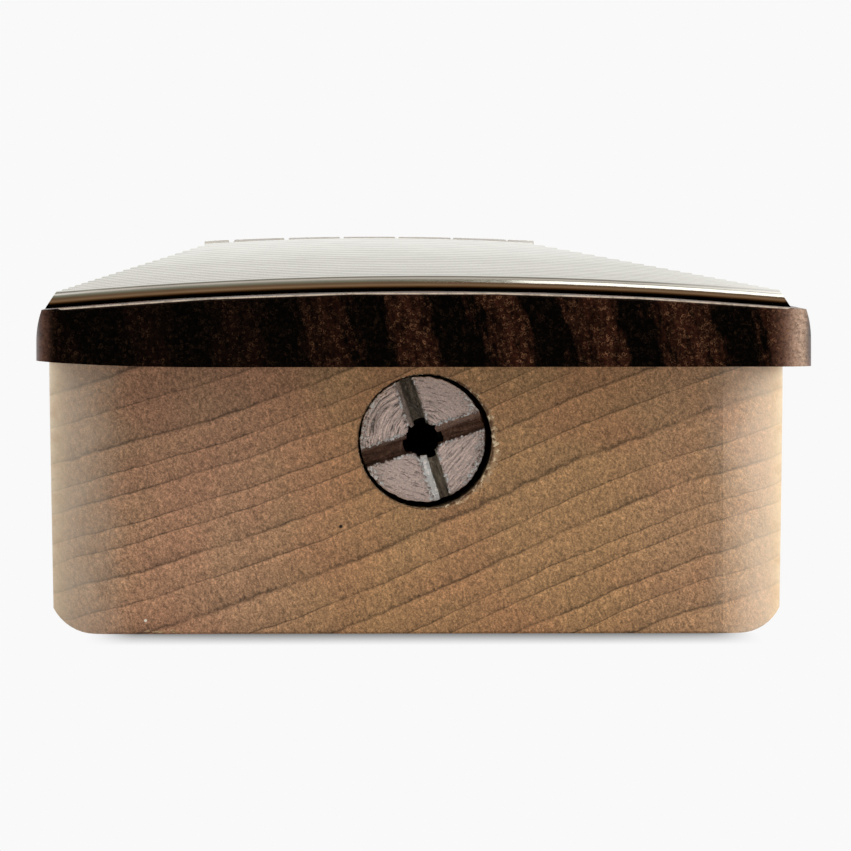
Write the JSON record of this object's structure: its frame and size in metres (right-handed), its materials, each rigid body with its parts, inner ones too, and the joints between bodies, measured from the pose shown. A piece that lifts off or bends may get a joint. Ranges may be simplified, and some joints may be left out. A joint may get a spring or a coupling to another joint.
{
  "type": "bolt-on guitar neck",
  "caption": "Bolt-on electric guitar neck: maple heel, shaft and headstock, dark fretted fingerboard, and a cross-slotted truss-rod adjuster in the end of the heel.",
  "frame": {"origin": "middle of the four neck-screw holes, on the flat back of the heel", "axes": "+Y from the heel to the headstock, +Z out of the fingerboard, +X to the treble side"},
  "size_m": [0.074, 0.6412, 0.0265],
  "materials": {
    "maple": "bare end grain and satin lacquer",
    "rosewood": "bare, open-pored",
    "walnut": "satin",
    "fret_metal": "polished nickel silver",
    "rod_steel": "plain steel",
    "adjuster_steel": "machined steel",
    "bone": "bone",
    "inlay": "pearl-like plastic"
  },
  "bodies": {
    "neck": {"maple_neck": "maple", "fingerboard": "rosewood", "string_nut": "bone", "truss_rod": "rod_steel", "truss_rod_anchor": "rod_steel", "truss_rod_washer": "rod_steel", "skunk_stripe": "walnut", "anchor_plug": "walnut", "fret_01": "fret_metal", "fret_02": "fret_metal", "fret_03": "fret_metal", "fret_04": "fret_metal", "fret_05": "fret_metal", "fret_06": "fret_metal", "fret_07": "fret_metal", "fret_08": "fret_metal", "fret_09": "fret_metal", "fret_10": "fret_metal", "fret_11": "fret_metal", "fret_12": "fret_metal", "fret_13": "fret_metal", "fret_14": "fret_metal", "fret_15": "fret_metal", "fret_16": "fret_metal", "fret_17": "fret_metal", "fret_18": "fret_metal", "fret_19": "fret_metal", "fret_20": "fret_metal", "fret_21": "fret_metal", "fret_22": "fret_metal", "dot_03": "inlay", "dot_05": "inlay", "dot_07": "inlay", "dot_09": "inlay", "dot_12_bass": "inlay", "dot_12_treble": "inlay", "dot_15": "inlay", "dot_17": "inlay", "dot_19": "inlay", "dot_21": "inlay", "side_dot_03": "inlay", "side_dot_05": "inlay", "side_dot_07": "inlay", "side_dot_09": "inlay", "side_dot_12_low": "inlay", "side_dot_12_high": "inlay", "side_dot_15": "inlay", "side_dot_17": "inlay", "side_dot_19": "inlay", "side_dot_21": "inlay"},
    "adjuster": {"truss_rod_nut": "adjuster_steel"}
  },
  "joints": [
    {"name": "adjuster_turn", "type": "hinge", "parent": "neck", "child": "adjuster", "pos_m": [0, -0.0316, 0.01435], "axis": [0, 1, 0], "range_deg": [-360, 360]}
  ]
}
